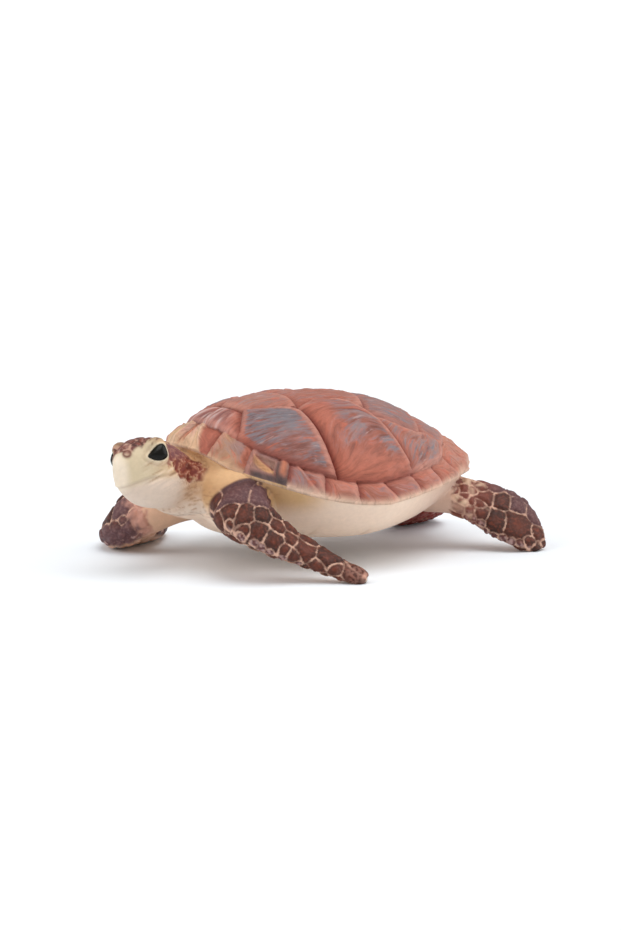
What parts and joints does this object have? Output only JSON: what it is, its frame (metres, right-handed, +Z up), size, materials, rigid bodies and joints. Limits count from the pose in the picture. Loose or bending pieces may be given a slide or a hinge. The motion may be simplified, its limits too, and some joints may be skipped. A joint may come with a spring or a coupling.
{
  "type": "toy hawksbill turtle figure",
  "caption": "Solid painted vinyl toy of a hawksbill sea turtle, standing on its four flippers with its head turned a little to its left.",
  "frame": {"origin": "on the floor under the middle of the figure's box", "axes": "the head points towards -Y and the tail towards +Y, the turtle's left is +X, +Z is up"},
  "size_m": [0.0668, 0.085, 0.0302],
  "materials": {
    "shell": "satin",
    "skin": "satin",
    "flipper": "satin",
    "eye": "gloss"
  },
  "bodies": {
    "root": {"carapace": "shell", "torso": "skin", "neck": "skin", "head": "skin", "eye_left": "eye", "eye_right": "eye", "front_flipper_left": "flipper", "front_flipper_right": "flipper", "rear_flipper_left": "flipper", "rear_flipper_right": "flipper", "tail": "flipper"}
  },
  "joints": []
}
